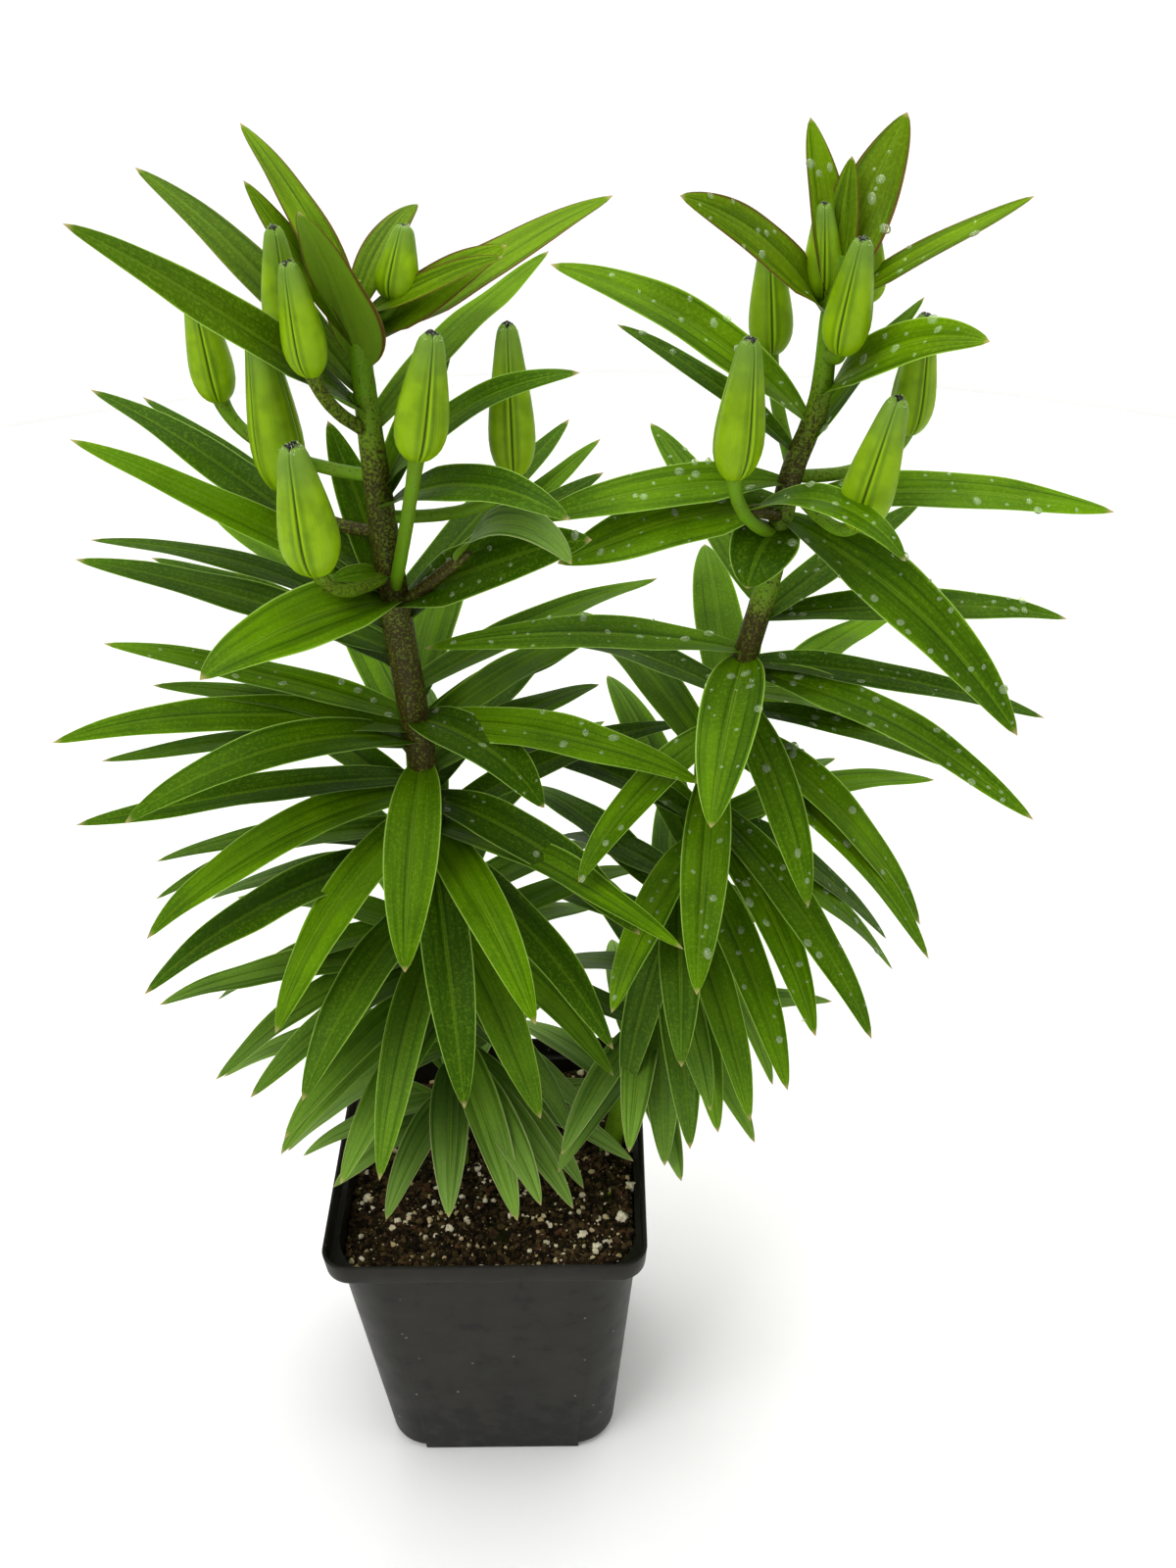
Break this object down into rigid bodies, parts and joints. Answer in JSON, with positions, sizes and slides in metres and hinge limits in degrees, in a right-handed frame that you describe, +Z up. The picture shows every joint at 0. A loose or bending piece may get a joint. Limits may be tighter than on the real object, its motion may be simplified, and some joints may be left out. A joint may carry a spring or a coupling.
{
  "type": "potted lily plant in bud",
  "caption": "Asiatic lily in bud: leafy stems with closed green flower buds, growing in peat soil in a square black nursery pot.",
  "frame": {"origin": "centre of the pot's underside, on the surface it stands on", "axes": "+Z up along the stems; -Y is the pot's front as pictured, +X to its right"},
  "size_m": [0.3111, 0.1646, 0.4818],
  "materials": {
    "pot_plastic": "satin black moulded polypropylene",
    "potting_soil": null,
    "lily_foliage": null
  },
  "bodies": {
    "root": {"pot": "pot_plastic", "soil": "potting_soil", "left_leafy_stem": "lily_foliage", "right_leafy_stem": "lily_foliage"}
  },
  "joints": []
}
